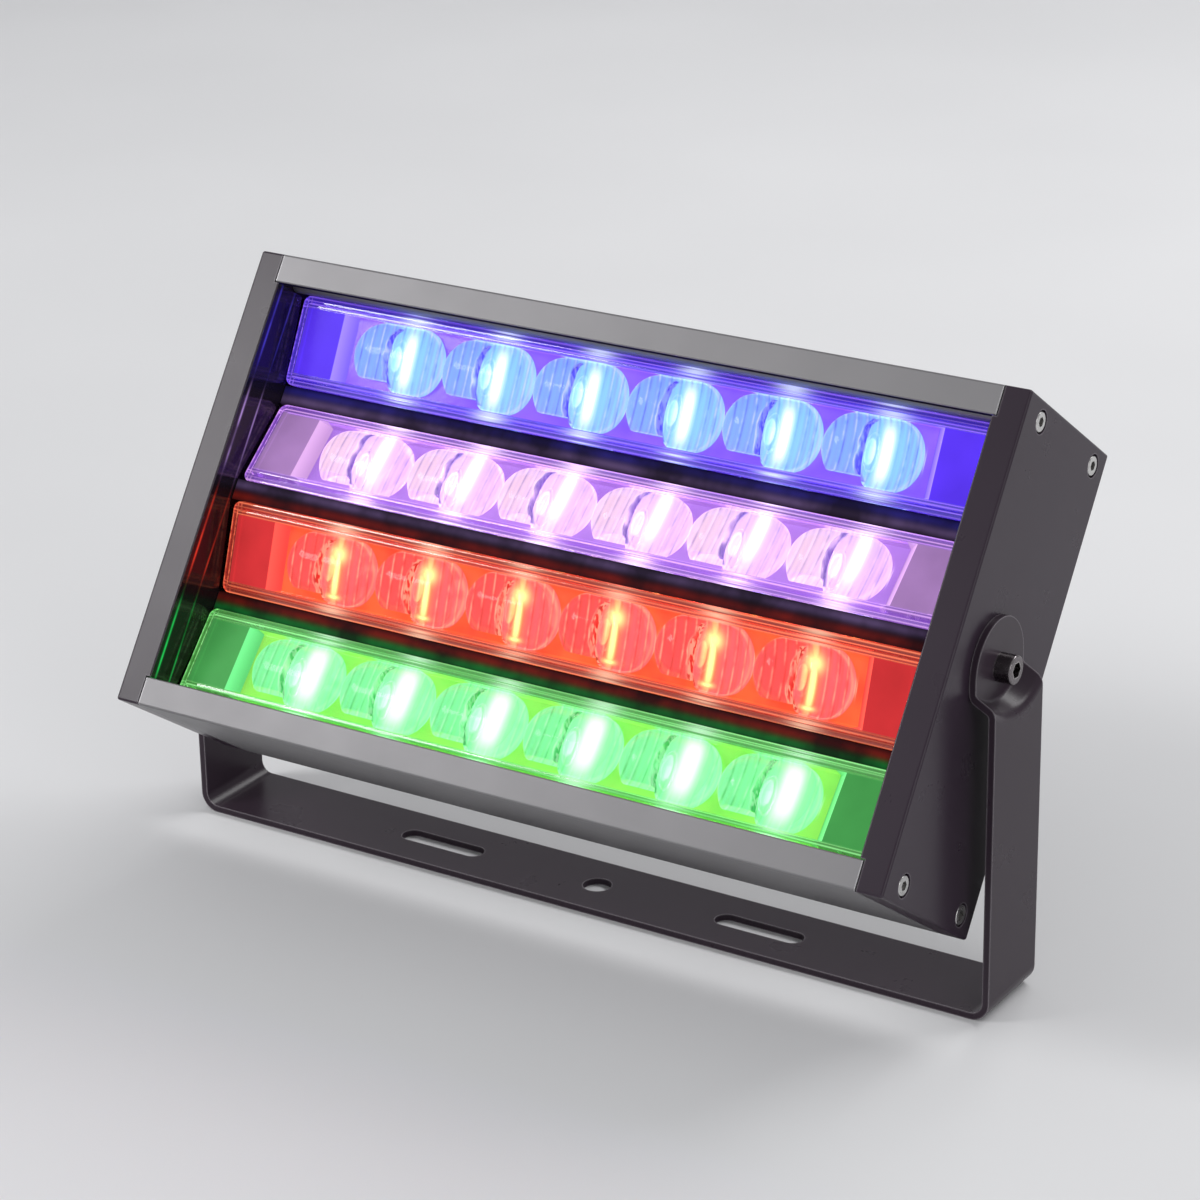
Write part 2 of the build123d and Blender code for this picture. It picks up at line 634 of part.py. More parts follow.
def board_screws():
    one = Rot(90, 0, 0) * screw(M3_HEAD_R, M3_HEAD_H, M3_R, BOARD_SCREW_L, M3_KEY, M3_ROUND)
    spots = [(x, v) for x in (-BOARD_SCREW_X, BOARD_SCREW_X) for v in (-1, 1)]
    return group([Pos(x, -BOARD_TOP, v * BOARD_SCREW_V) * one for x, v in spots])


# Gear inside the housing.


def tray_screw_spots():
    """Where the M3 screws through the tray stand: (x, a) of driver, control and terminals."""
    driver = [(x, a) for x in DRIVER_SCREW_X for a in (-1, 1)]
    control = [(x, a) for x in CONTROL_SCREW_X for a in (-1, 1)]
    terminal = [(sum(TERMINAL_X) / 2, a) for a in (-1, 1)]
    return {
        "driver": [(x, a * DRIVER_SCREW_A) for x, a in driver],
        "control": [(x, a * CONTROL_SCREW_A) for x, a in control],
        "terminal": [(x, a * TERMINAL_SCREW_A) for x, a in terminal],
    }


def tray_screws(which, under_head):
    """M3 screws down into the tray, each reaching the same depth under it."""
    length = under_head - TRAY_B + TRAY_SCREW_PROUD
    one = Rot(90, 0, 0) * screw(M3_HEAD_R, M3_HEAD_H, M3_R, length, M3_KEY, M3_ROUND)
    return group([Pos(x, -under_head, a) * one for x, a in tray_screw_spots()[which]])


def gear_tray():
    half_a = HALF_A - WALL - HOLE_GAP
    solid = block(-TRAY_HALF, TRAY_HALF, -half_a, half_a, TRAY_B, TRAY_TOP)
    for x in (GLAND_X, VENT_X):
        solid -= rod_b(x, 0, TRAY_B - OVER, TRAY_TOP + OVER, TRAY_HOLE_R)
    for spots in tray_screw_spots().values():
        for x, a in spots:
            solid -= rod_b(x, a, TRAY_B - OVER, TRAY_TOP + OVER, M3_R + FIT)
    return solid


def driver():
    """Potted case with a foot at each end."""
    x0, x1 = DRIVER_X
    case = block(x0, x1, -DRIVER_H / 2, DRIVER_H / 2, TRAY_TOP, TRAY_TOP + DRIVER_T)
    case = fillet(case.edges().filter_by(Axis.X), DRIVER_R)
    feet = block(x0 - FOOT_L, x1 + FOOT_L, -DRIVER_H / 2, DRIVER_H / 2, TRAY_TOP, TRAY_TOP + FOOT_T)
    solid = case + feet
    for x, a in tray_screw_spots()["driver"]:
        solid -= rod_b(x, a, TRAY_B, TRAY_TOP + FOOT_T + OVER, M3_R + HOLE_GAP)
    return solid


def control_board():
    """Circuit board with its chips, a coil, two capacitors and the bars' connectors."""
    x0, x1 = CONTROL_X
    top = CONTROL_TOP
    solid = block(x0, x1, -CONTROL_H / 2, CONTROL_H / 2, CONTROL_B, top)
    for x, a in tray_screw_spots()["control"]:
        solid -= rod_b(x, a, CONTROL_B - OVER, top + OVER, M3_R + HOLE_GAP)
    length, height, rise = CONNECTOR
    for a in CONNECTOR_A:
        solid += block(x0, x0 + length, a - height / 2, a + height / 2, top, top + rise)
    solid += block(x1 - PLUG[0], x1, -PLUG[1] / 2, PLUG[1] / 2, top, top + rise)
    for start, a, length, height, rise in CHIPS:
        x = x0 + start
        solid += block(x, x + length, a - height / 2, a + height / 2, top, top + rise)
    for a in CAN_A:
        solid += rod_b(x0 + CAN_X, a, top, top + CAN_T, CAN_R)
    return solid


def control_spacers():
    one = rod_b(0, 0, TRAY_TOP, CONTROL_B, SPACER_R)
    one -= rod_b(0, 0, TRAY_TOP - OVER, CONTROL_B + OVER, M3_R + FIT)
    return group([Pos(x, 0, a) * one for x, a in tray_screw_spots()["control"]])


def terminal_block():
    """Three-way screw terminal on a foot at each end."""
    x0, x1 = TERMINAL_X
    middle = (x0 + x1) / 2
    top = TRAY_TOP + TERMINAL_T
    half = TERMINAL_H / 2
    body = half - TERMINAL_FOOT
    solid = block(x0, x1, -body, body, TRAY_TOP, top)
    solid += block(x0, x1, -half, half, TRAY_TOP, TRAY_TOP + TERMINAL_FOOT_T)
    for i in (-1, 0, 1):
        a = i * TERMINAL_PITCH
        solid -= rod_b(middle, a, top - TERMINAL_WELL, top + OVER, TERMINAL_WELL_R)
        solid -= rod_x(middle, x1 + OVER, a, TRAY_TOP + TERMINAL_FOOT_T, TERMINAL_WAY_R)
    for x, a in tray_screw_spots()["terminal"]:
        solid -= rod_b(x, a, TRAY_TOP - OVER, top, M3_R + HOLE_GAP)
    return solid


def wire(points):
    """Round wire with bent corners through (x, a, b) points."""
    path = FilletPolyline([(x, -b, a) for x, a, b in points], radius=WIRE_BEND)
    return sweep(Plane(origin=path @ 0, z_dir=path % 0) * Circle(WIRE_R), path=path)


def wiring():
    """Two leads from each bar to the control board, and the driver's short leads."""
    wires = []
    low_b = CONTROL_TOP + CONNECTOR[2] / 2
    for (a, tilt), plug_a in zip(BARS.values(), reversed(CONNECTOR_A)):
        for v in (-WIRE_GAP / 2, WIRE_GAP / 2):
            board = bar_point(a, tilt, v, BOARD_TOP + WIRE_R)
            below = bar_point(a, tilt, v, BED_W - WEB_T - WIRE_DROP)
            points = [(LEAD_START - BOARD_L / 2, *board), (LEAD_X, *board)]
            points += [(LEAD_X, *below), (LEAD_X + WIRE_TURN, below[0], low_b)]
            points += [(LEAD_X + WIRE_RUN, plug_a + v, low_b), (CONTROL_X[0], plug_a + v, low_b)]
            wires.append(wire(points))
    for s in (-1, 1):
        control_a, supply_a = s * SUPPLY_GAP / 2, s * SUPPLY_GAP * 3 / 4
        wires.append(rod_x(CONTROL_X[1], DRIVER_X[0], control_a, low_b, WIRE_R))
        low = TRAY_TOP + TERMINAL_FOOT_T + WIRE_R
        wires.append(rod_x(DRIVER_X[1], TERMINAL_X[0], supply_a, low, WIRE_R))
    return group(wires)


# Cable gland and vent plug, on the rear wall.


def gland_gasket():
    bore = rod_b(GLAND_X, 0, GLAND_FACE - OVER, REAR_OUT + OVER, GLAND_R + FIT)
    return rod_b(GLAND_X, 0, GLAND_FACE, REAR_OUT, GLAND_SEAL_R) - bore


def gland_body():
    b0 = GLAND_FACE - GLAND_FLANGE_T
    end = b0 - GLAND_NECK
    solid = hex_b(GLAND_X, 0, b0, GLAND_FACE, GLAND_AF)
    solid += rod_b(GLAND_X, 0, GLAND_FACE, GLAND_FACE + GLAND_INSIDE, GLAND_R)
    solid += rod_b(GLAND_X, 0, end, b0, GLAND_R)
    solid -= rod_b(GLAND_X, 0, end - OVER, GLAND_FACE + GLAND_INSIDE + OVER, GLAND_BORE_R)
    return solid - rod_b(GLAND_X, 0, end - OVER, b0, SEAL_R + FIT)


def gland_locknut():
    bore = rod_b(GLAND_X, 0, REAR_IN - OVER, REAR_IN + GLAND_NUT_T + OVER, GLAND_R + FIT)
    return hex_b(GLAND_X, 0, REAR_IN, REAR_IN + GLAND_NUT_T, GLAND_AF) - bore


def gland_seal():
    b1 = GLAND_FACE - GLAND_FLANGE_T
    bore = rod_b(GLAND_X, 0, b1 - GLAND_NECK - OVER, b1 + OVER, SEAL_BORE_R)
    return rod_b(GLAND_X, 0, b1 - GLAND_NECK, b1, SEAL_R) - bore


def gland_dome_nut():
    """Cap nut over the neck, rounded at its mouth."""
    b1 = GLAND_FACE - GLAND_FLANGE_T
    b0 = b1 - DOME_L
    solid = hex_b(GLAND_X, 0, b0 + DOME_NOSE, b1, DOME_AF)
    solid += rod_b(GLAND_X, 0, b0, b1, DOME_AF / 2 - DOME_STEP)
    mouth = solid.edges().filter_by(GeomType.CIRCLE).sort_by(Axis.Y)[-1]
    solid = fillet(mouth, DOME_ROUND)
    solid -= rod_b(GLAND_X, 0, b0 - OVER, b1 + OVER, GLAND_BORE_R)
    return solid - rod_b(GLAND_X, 0, b1 - GLAND_NECK, b1 + OVER, GLAND_R + FIT)


def vent_plug():
    face = REAR_OUT - VENT_FLANGE_T
    solid = rod_b(VENT_X, 0, face, REAR_OUT, VENT_FLANGE_R)
    solid = fillet(solid.edges().filter_by(GeomType.CIRCLE).sort_by(Axis.Y)[-1], VENT_ROUND)
    return solid + rod_b(VENT_X, 0, REAR_OUT, REAR_IN + VENT_NUT_T + OVER, VENT_R)


def vent_nut():
    bore = rod_b(VENT_X, 0, REAR_IN - OVER, REAR_IN + VENT_NUT_T + OVER, VENT_R + FIT)
    return hex_b(VENT_X, 0, REAR_IN, REAR_IN + VENT_NUT_T, VENT_NUT_AF) - bore


# Every piece is written where it sits in the lamp.

parts = {"bracket": bracket()}
for name, build in (
    ("housing", housing),
    ("gear_tray", gear_tray),
    ("driver", driver),
    ("control_board", control_board),
    ("control_spacers", control_spacers),
    ("terminal_block", terminal_block),
    ("wiring", wiring),
    ("gland_gasket", gland_gasket),
    ("gland_body", gland_body),
    ("gland_locknut", gland_locknut),
    ("gland_seal", gland_seal),
    ("gland_dome_nut", gland_dome_nut),
    ("vent_plug", vent_plug),
    ("vent_nut", vent_nut),
):
    parts[name] = HEAD * build()
for name, build in (
    ("end_cap", end_cap),
    ("cap_gasket", gasket),
    ("cap_screws", cap_screws),
    ("pivot_bolt", pivot_bolt),
    ("friction_washer", friction_washer),
    ("pivot_insert", pivot_insert),
):
    for side, shape in left_right(build).items():
        parts[f"{side}_{name}"] = HEAD * shape
parts["driver_screws"] = HEAD * tray_screws("driver", TRAY_TOP + FOOT_T)
parts["control_screws"] = HEAD * tray_screws("control", CONTROL_TOP)
parts["terminal_screws"] = HEAD * tray_screws("terminal", TRAY_TOP + TERMINAL_FOOT_T)
for name, build in (
    ("lens_plate", lens_plate),
    ("bar_gasket", bar_gasket),
    ("led_board", led_board),
    ("leds", leds),
    ("board_screws", board_screws),
):
    shape = build()
    for colour, place in BARS.items():
        parts[f"{colour}_{name}"] = HEAD * bar_place(*place) * shape
for name, shape in parts.items():
    export_step(shape, f"parts/{name}.step")
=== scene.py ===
import json
import math

import bmesh
import bpy
from mathutils import Matrix, Vector


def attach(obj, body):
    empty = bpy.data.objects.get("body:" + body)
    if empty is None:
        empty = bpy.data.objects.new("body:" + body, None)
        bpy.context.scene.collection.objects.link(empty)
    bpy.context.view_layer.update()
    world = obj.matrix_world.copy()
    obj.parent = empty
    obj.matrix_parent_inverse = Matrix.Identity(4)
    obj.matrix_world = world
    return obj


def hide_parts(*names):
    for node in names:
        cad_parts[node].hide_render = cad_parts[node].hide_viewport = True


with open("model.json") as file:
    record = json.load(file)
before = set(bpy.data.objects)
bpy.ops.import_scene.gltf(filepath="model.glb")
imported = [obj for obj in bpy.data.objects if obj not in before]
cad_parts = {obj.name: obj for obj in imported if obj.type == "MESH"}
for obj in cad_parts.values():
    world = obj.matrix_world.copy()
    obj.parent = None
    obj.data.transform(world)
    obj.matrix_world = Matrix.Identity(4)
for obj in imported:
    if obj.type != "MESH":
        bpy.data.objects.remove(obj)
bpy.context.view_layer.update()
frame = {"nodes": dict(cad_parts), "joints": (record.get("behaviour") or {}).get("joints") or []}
scene = bpy.context.scene
nodes = frame["nodes"]

# The tilting head's own frame, from the record: a up its face, b out of it, from the pivot.
PIVOT = Vector(frame["joints"][0]["pos_m"])
TILT = math.radians(34.8)
HEAD = Matrix.Translation(PIVOT) @ Matrix.Rotation(-TILT, 4, "X")

# Front opening in that frame: half its length, half its height, its front and how far back
# its black lining goes. Its end walls start at WALL_X.
OPENING = (0.1456, 0.0751, 0.0303, -0.015)
WALL_X = 0.1430

# Bars: each one's middle on a, and its tilt about its long axis in degrees. All of them
# lie at BAR_B on b.
BARS = {
    "blue": (0.05931, 8.0),
    "white": (0.02011, -16.5),
    "red": (-0.02011, 16.5),
    "green": (-0.05931, -8.0),
}
BAR_B = 0.0127

# Lens plates, in a bar's own frame: x along it, v across it, w out of it from its flange.
# Sunk floor, underside, half length of the recess, inner edge of the rim, row of lenses.
FLOOR_W = -0.0030
UNDER_W = -0.0060
RECESS_X = 0.1180
RIM_V = 0.0120
RIM_X = 0.1375
LENS_PITCH = 0.0385
LENS_X = [(i - 2.5) * LENS_PITCH for i in range(6)]
ROW_X = LENS_PITCH * len(LENS_X) / 2

# Each lens: how far its round ends lie from its middle, their radius, and its reach on v.
LOBE_X = 0.0082
LOBE_R = 0.0104
LOBE_V = 0.0121
# Its left half is cut flat at CUT_V. Its slit has this half width at the top of the lens
# and this foot above the floor.
CUT_V = -0.0087
SLIT_HALF = 0.0012
SLIT_FOOT = 0.0050
# Half axes of the hollow over its LED.
HOLLOW = (0.0031, 0.0036, 0.0046)

# Section of a plate as rounded rectangles, from its skirt over its rim to its sunk floor, in
# millimetres: length, height, corner radius and w.
SECTION = (
    (279.6, 29.0, 1.0, -6.0),
    (279.6, 29.0, 1.0, -7.6),
    (284.0, 33.4, 3.0, -7.6),
    (284.0, 33.4, 3.0, -0.5),
    (283.7, 33.1, 2.85, -0.15),
    (283.0, 32.4, 2.5, 0.0),
    (279.1, 29.1, 2.5, 0.0),
    (278.8, 28.8, 2.35, -0.4),
    (278.1, 28.5, 2.2, -0.4),
    (277.9, 28.3, 2.1, 1.5),
    (277.6, 28.0, 1.95, 1.85),
    (277.0, 27.4, 1.65, 2.0),
    (272.8, 25.2, 0.9, 2.0),
    (272.2, 24.6, 0.6, 1.5),
    (243.6, 24.2, 0.5, 1.5),
    (236.2, 24.0, 0.4, -3.0),
)


def bar_matrix(name):
    """From a bar's own frame (x along it, y into the lamp, z across it) to the part's."""
    a, tilt = BARS[name]
    place = Matrix.Translation((0, -BAR_B, a)) @ Matrix.Rotation(math.radians(tilt), 4, "X")
    return HEAD @ place


# Shapes: the lens plates, finer than their CAD solids.


def corner_loop(length, height, radius, w, steps=6):
    """Points of a rounded rectangle at height w, in a bar's own frame."""
    points = []
    for quarter in range(4):
        sx = (1, -1, -1, 1)[quarter]
        sv = (1, 1, -1, -1)[quarter]
        for i in range(steps + 1):
            angle = math.pi / 2 * (quarter + i / steps)
            x = sx * (length / 2 - radius) + radius * math.cos(angle)
            v = sv * (height / 2 - radius) + radius * math.sin(angle)
            points.append((x, -w, v))
    return points


def skin(loops):
    """Closed mesh through loops of equal count, filled at the first and the last."""
    made = bmesh.new()
    rows = [[made.verts.new(p) for p in loop] for loop in loops]
    count = len(rows[0])
    for low, high in zip(rows, rows[1:]):
        for i in range(count):
            j = (i + 1) % count
            made.faces.new((low[i], low[j], high[j], high[i]))
    made.faces.new(rows[0][::-1])
    made.faces.new(rows[-1])
    bmesh.ops.recalc_face_normals(made, faces=made.faces)
    return made


def plate_blank():
    """Flange, skirt, raised rim, end blocks and sunk floor, without the lenses."""
    return skin([corner_loop(*(value * 0.001 for value in row)) for row in SECTION])


def prism(section, v0, v1):
    """Solid whose section of (x, w) points runs across the bar from v0 to v1."""
    return skin([[(x, -w, v) for x, w in section] for v in (v0, v1)])


def dome(arc_steps=20, straight_steps=32, rings=36):
    """Lens over one LED: a long rounded dome, to be slit across its middle."""
    arc = [math.pi / 2 * (k + 0.5) / arc_steps for k in range(arc_steps)]
    straight = [LOBE_X * (1 - (2 * k + 1) / straight_steps) for k in range(straight_steps)]
    around = [(LOBE_X, angle) for angle in arc]
    around += [(x, math.pi / 2) for x in straight]
    around += [(-LOBE_X, math.pi - angle) for angle in reversed(arc)]
    # These close the ring under the floor, where it doesn't show.
    around += [(-LOBE_X, -2.4), (-LOBE_X, -1.57), (LOBE_X, -1.57), (LOBE_X, -0.7)]
    loops = []
    for i in range(rings + 1):
        polar = math.pi * (i + 0.25) / (rings + 0.5)
        r = LOBE_R * math.sin(polar)
        v = -LOBE_V * math.cos(polar)
        loops.append([(x + r * math.cos(a), -FLOOR_W - r * math.sin(a), v) for x, a in around])
    return skin(loops)


def dome_cuts():
    """What is cut from a dome: below the floor, the slit, and the lower left of it."""
    wide = LOBE_X + 2 * LOBE_R
    past = 1.5 * LOBE_V
    over = 1.2 * LOBE_R
    high = FLOOR_W + over
    half = SLIT_HALF * (over - SLIT_FOOT) / (LOBE_R - SLIT_FOOT)
    deep, sunk = -0.03, FLOOR_W - 0.0012
    below = [(-wide, deep), (wide, deep), (wide, sunk), (-wide, sunk)]
    slit = [(0, FLOOR_W + SLIT_FOOT), (half, high), (-half, high)]
    left = [(-wide, deep), (0, deep), (0, high), (-wide, high)]
    return [prism(below, -past, past), prism(slit, -past, past), prism(left, -past, CUT_V)]


def cavity(x):
    """Hollow under a lens, over its LED."""
    made = bmesh.new()
    bmesh.ops.create_uvsphere(made, u_segments=32, v_segments=16, radius=1.0)
    bmesh.ops.scale(made, vec=HOLLOW, verts=made.verts)
    bmesh.ops.translate(made, vec=(x, -UNDER_W, 0), verts=made.verts)
    return made


def as_object(name, made):
    """Object of a bmesh, which is used up."""
    mesh = bpy.data.meshes.new(name)
    made.to_mesh(mesh)
    made.free()
    piece = bpy.data.objects.new(name, mesh)
    scene.collection.objects.link(piece)
    return piece


def combine(base, others, operation):
    """Applies a boolean of base with each of others, which are used up."""
    tools = bpy.data.collections.new("tools")
    for other in others:
        tools.objects.link(other)
    change = base.modifiers.new("combine", "BOOLEAN")
    change.operation = operation
    change.operand_type = "COLLECTION"
    change.collection = tools
    change.solver = "EXACT"
    evaluated = base.evaluated_get(bpy.context.evaluated_depsgraph_get())
    mesh = bpy.data.meshes.new_from_object(evaluated)
    base.modifiers.clear()
    base.data = mesh
    for other in others:
        bpy.data.objects.remove(other)
    bpy.data.collections.remove(tools)


def plate_mesh():
    """One plate with its six lenses, in a bar's own frame."""
    lens = as_object("lens", dome())
    combine(lens, [as_object("cut", made) for made in dome_cuts()], "DIFFERENCE")
    domes = []
    for x in LENS_X:
        domes.append(bpy.data.objects.new("dome", lens.data.copy()))
        domes[-1].data.transform(Matrix.Translation((x, 0, 0)))
        scene.collection.objects.link(domes[-1])
    bpy.data.objects.remove(lens)
    plate = as_object("plate", plate_blank())
    combine(plate, domes, "UNION")
    combine(plate, [as_object("hollow", cavity(x)) for x in LENS_X], "DIFFERENCE")
    mesh = plate.data
    bpy.data.objects.remove(plate)
    mesh.shade_smooth()
    mesh.set_sharp_from_angle(angle=math.radians(32))
    return mesh


def lens_plates():
    """Puts a copy of the plate in each bar's place."""
    mesh = plate_mesh()
    for name in BARS:
        own = mesh.copy()
        own.transform(bar_matrix(name))
        own.materials.append(finishes[f"{name}_lens"])
        piece = bpy.data.objects.new(f"{name}_clear_plate", own)
        scene.collection.objects.link(piece)
        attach(piece, "head")
        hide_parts(f"{name}_lens_plate")
    bpy.data.meshes.remove(mesh)


# Materials.

# Powder coat: how strongly it reflects, and its colour inside the opening.
SHEEN = 0.21
LINING = (0.010, 0.008, 0.011)
# Painted highlight on the edges of blackened steel: its colour.
STEEL_HIGHLIGHT = (0.85, 0.82, 0.80)

# Painted light on the dark end walls: a bright and a faint line, each at b with its width.
WALL_LINES = ((0.0275, 0.0005), (0.0190, 0.0004))

# Painted light lines on a plate's rim, each with its width: those at a v and those at an x.
RIM_LINES_V = ((0.0125, 0.00020), (0.0136, 0.00028), (0.0149, 0.00018), (0.0163, 0.00030))
RIM_LINES_X = ((0.1384, 0.00022), (0.1399, 0.00030), (0.1416, 0.00030))
# Slope from the sunk floor up to an end block: its middle, half its length, and its top.
SLOPE_X = (0.1199, 0.0018)
BLOCK_W = 0.0015

# The ribs in a lens, painted as lines of highlight and shade, lean over it: what x and the height
# above the floor count for, their pitch, and how fast the faint painted waves of light between
# them follow each other.
LEAN = (0.84, 0.543)
RIB_PITCH = 0.0034
WAVES = 3300.0

# BOARD_STRENGTH is the glow painted on the boards round each LED; LED_STRENGTH is the LEDs' own
# light.
BOARD_STRENGTH = 0.9
LED_STRENGTH = 0.7

# Each bar's light by region, painted on its lens plate as glow. core is the painted bright bar
# in a lens: its middle and half width over the lean, then its middle and half height on v. With
# star it widens at both ends.
LOOKS = {
    "blue": {
        "tint": (0.30, 0.26, 0.95), "star": False, "sparkle": 0.25,
        "strength": 0.74, "shine": (0.10, 0.08, 1.0),
        "floor": (0.25, 0.085, 0.93), "floor_near": (0.42, 0.17, 0.96),
        "left": (0.24, 0.52, 1.1), "right": (0.30, 0.75, 1.1), "slit": (0.05, 0.035, 0.45),
        "halo": (0.30, 0.95, 1.2), "white": (1.7, 1.9, 2.0), "glint": (0.80, 0.90, 1.0),
        "core": (0.0024, 0.0020, -0.0005, 0.0095),
        "end": (0.12, 0.045, 1.0), "slope": (0.50, 0.36, 1.3),
        "rim": (0.025, 0.004, 0.22), "rim_line": (0.42, 0.20, 1.2),
    },
    "white": {
        "tint": (0.60, 0.46, 0.75), "star": False, "sparkle": 0.1,
        "strength": 0.66, "shine": (0.62, 0.38, 0.95),
        "floor": (0.33, 0.12, 0.68), "floor_near": (0.50, 0.22, 0.80),
        "left": (1.10, 0.76, 0.80), "right": (1.05, 0.66, 0.96), "slit": (0.11, 0.06, 0.32),
        "halo": (0.85, 0.62, 0.85), "white": (2.0, 1.9, 2.0), "glint": (1.5, 1.1, 1.5),
        "core": (0.0035, 0.0022, 0.0010, 0.0095),
        "end": (0.44, 0.24, 0.55), "slope": (1.05, 0.62, 1.1),
        "rim": (0.14, 0.03, 0.40), "rim_line": (1.0, 0.50, 1.2),
    },
    "red": {
        "tint": (0.90, 0.20, 0.15), "star": True, "sparkle": 0.75,
        "strength": 0.7, "shine": (1.0, 0.05, 0.02),
        "floor": (0.92, 0.085, 0.035), "floor_near": (1.1, 0.26, 0.055),
        "left": (0.80, 0.075, 0.095), "right": (0.82, 0.14, 0.19), "slit": (0.38, 0.008, 0.010),
        "halo": (1.0, 0.36, 0.10), "white": (2.2, 1.8, 0.62), "glint": (1.0, 0.62, 0.42),
        "core": (0.0010, 0.0011, 0.0005, 0.0100),
        "end": (0.72, 0.040, 0.045), "slope": (1.35, 0.16, 0.12),
        "rim": (0.16, 0.008, 0.008), "rim_line": (1.3, 0.28, 0.12),
    },
    "green": {
        "tint": (0.25, 0.85, 0.30), "star": False, "sparkle": 0.45,
        "strength": 0.6, "shine": (0.02, 0.95, 0.15),
        "floor": (0.30, 0.76, 0.080), "floor_near": (0.62, 0.98, 0.14),
        "left": (0.30, 0.90, 0.50), "right": (0.26, 0.92, 0.50), "slit": (0.03, 0.28, 0.08),
        "halo": (0.60, 1.0, 0.75), "white": (1.9, 2.2, 1.9), "glint": (0.75, 1.0, 0.80),
        "core": (0.0040, 0.0034, 0.0000, 0.0100),
        "end": (0.080, 0.42, 0.10), "slope": (0.32, 1.45, 0.50),
        "rim": (0.05, 0.16, 0.03), "rim_line": (0.45, 1.2, 0.42),
    },
}


class Shader:
    """A material's node tree, with short calls for the nodes that the finishes share."""

    def __init__(self, name):
        self.material = bpy.data.materials.new(name)
        self.material.use_nodes = True
        self.tree = self.material.node_tree
        self.bsdf = self.tree.nodes["Principled BSDF"]

    def node(self, kind, **values):
        made = self.tree.nodes.new(kind)
        for key, value in values.items():
            setattr(made, key, value)
        return made

    def put(self, value, socket):
        """Gives a socket a number, a colour or another node's output."""
        if isinstance(value, (int, float)):
            socket.default_value = value
        elif isinstance(value, tuple):
            socket.default_value = (*value, 1.0)
        else:
            self.tree.links.new(value, socket)

    def set(self, **values):
        """Sets the surface's own inputs."""
        for key, value in values.items():
            self.put(value, self.bsdf.inputs[key.replace("_", " ")])

    def place(self):
        """Position in the part's frame at rest, which stays with the piece as it moves."""
        return self.node("ShaderNodeTexCoord").outputs["Object"]

    def noise(self, scale, detail=2.0, stretch=None):
        made = self.node("ShaderNodeTexNoise")
        made.inputs["Scale"].default_value = scale
        made.inputs["Detail"].default_value = detail
        source = self.place()
        if stretch:
            squeeze = self.node("ShaderNodeMapping")
            squeeze.inputs["Scale"].default_value = stretch
            self.put(source, squeeze.inputs["Vector"])
            source = squeeze.outputs["Vector"]
        self.put(source, made.inputs["Vector"])
        return made.outputs["Fac"]

    def ramp(self, source, low, high, colour_low, colour_high):
        """Colour that goes from colour_low at low to colour_high at high."""
        made = self.node("ShaderNodeValToRGB")
        stops = made.color_ramp.elements
        for stop, position, colour in ((stops[0], low, colour_low), (stops[1], high, colour_high)):
            stop.position = position
            stop.color = (*colour, 1.0)
        self.put(source, made.inputs["Fac"])
        return made.outputs["Color"]

    def spread(self, source, low, high, to_low, to_high):
        """Number that goes from to_low at low to to_high at high, and no further."""
        made = self.node("ShaderNodeMapRange")
        self.put(source, made.inputs["Value"])
        self.put(low, made.inputs["From Min"])
        self.put(high, made.inputs["From Max"])
        self.put(to_low, made.inputs["To Min"])
        self.put(to_high, made.inputs["To Max"])
        return made.outputs["Result"]

    def math(self, operation, *values):
        made = self.node("ShaderNodeMath", operation=operation)
        for value, socket in zip(values, made.inputs):
            self.put(value, socket)
        return made.outputs["Value"]

    def vector(self, operation, output, first, second):
        """Output of a calculation with two vectors, of which the second may be plain numbers."""
        made = self.node("ShaderNodeVectorMath", operation=operation)
        self.put(first, made.inputs[0])
        if isinstance(second, Vector):
            made.inputs[1].default_value = second
        else:
            self.put(second, made.inputs[1])
        return made.outputs[output]

    def mix(self, factor, first, second):
        """Colour from first to second."""
        made = self.node("ShaderNodeMix", data_type="RGBA")
        self.put(factor, made.inputs["Factor"])
        self.put(first, made.inputs[6])
        self.put(second, made.inputs[7])
        return made.outputs[2]

    def times(self, *values):
        """Product of the values."""
        made = values[0]
        for value in values[1:]:
            made = self.math("MULTIPLY", made, value)
        return made

    def size(self, value):
        return self.math("ABSOLUTE", value)

    def inverse(self, value):
        """0 where value is 1, and 1 where it's 0."""
        return self.math("SUBTRACT", 1.0, value)

    def hump(self, value, middle, width, power=2.0):
        """1 where value is at middle, falling to 0 over about width."""
        away = self.math("DIVIDE", self.size(self.math("SUBTRACT", value, middle)), width)
        return self.math("EXPONENT", self.times(self.math("POWER", away, power), -1.0))

    def local(self, matrix):
        """The three coordinates of the point in the frame that matrix places."""
        axes = []
        for row in matrix.inverted()[:3]:
            dot = self.vector("DOT_PRODUCT", "Value", self.place(), Vector(row[:3]))
            axes.append(self.math("ADD", dot, row[3]))
        return axes

    def bump(self, height, distance, strength):
        made = self.node("ShaderNodeBump")
        made.inputs["Distance"].default_value = distance
        made.inputs["Strength"].default_value = strength
        self.put(height, made.inputs["Height"])
        self.set(Normal=made.outputs["Normal"])

    def edge(self, radius):
        """How near a convex edge is: 1 on it, 0 away from it."""
        bevel = self.node("ShaderNodeBevel", samples=4)
        bevel.inputs["Radius"].default_value = radius
        flat = self.node("ShaderNodeNewGeometry").outputs["True Normal"]
        same = self.vector("DOT_PRODUCT", "Value", bevel.outputs["Normal"], flat)
        return self.spread(same, 0.80, 0.98, 1.0, 0.0)


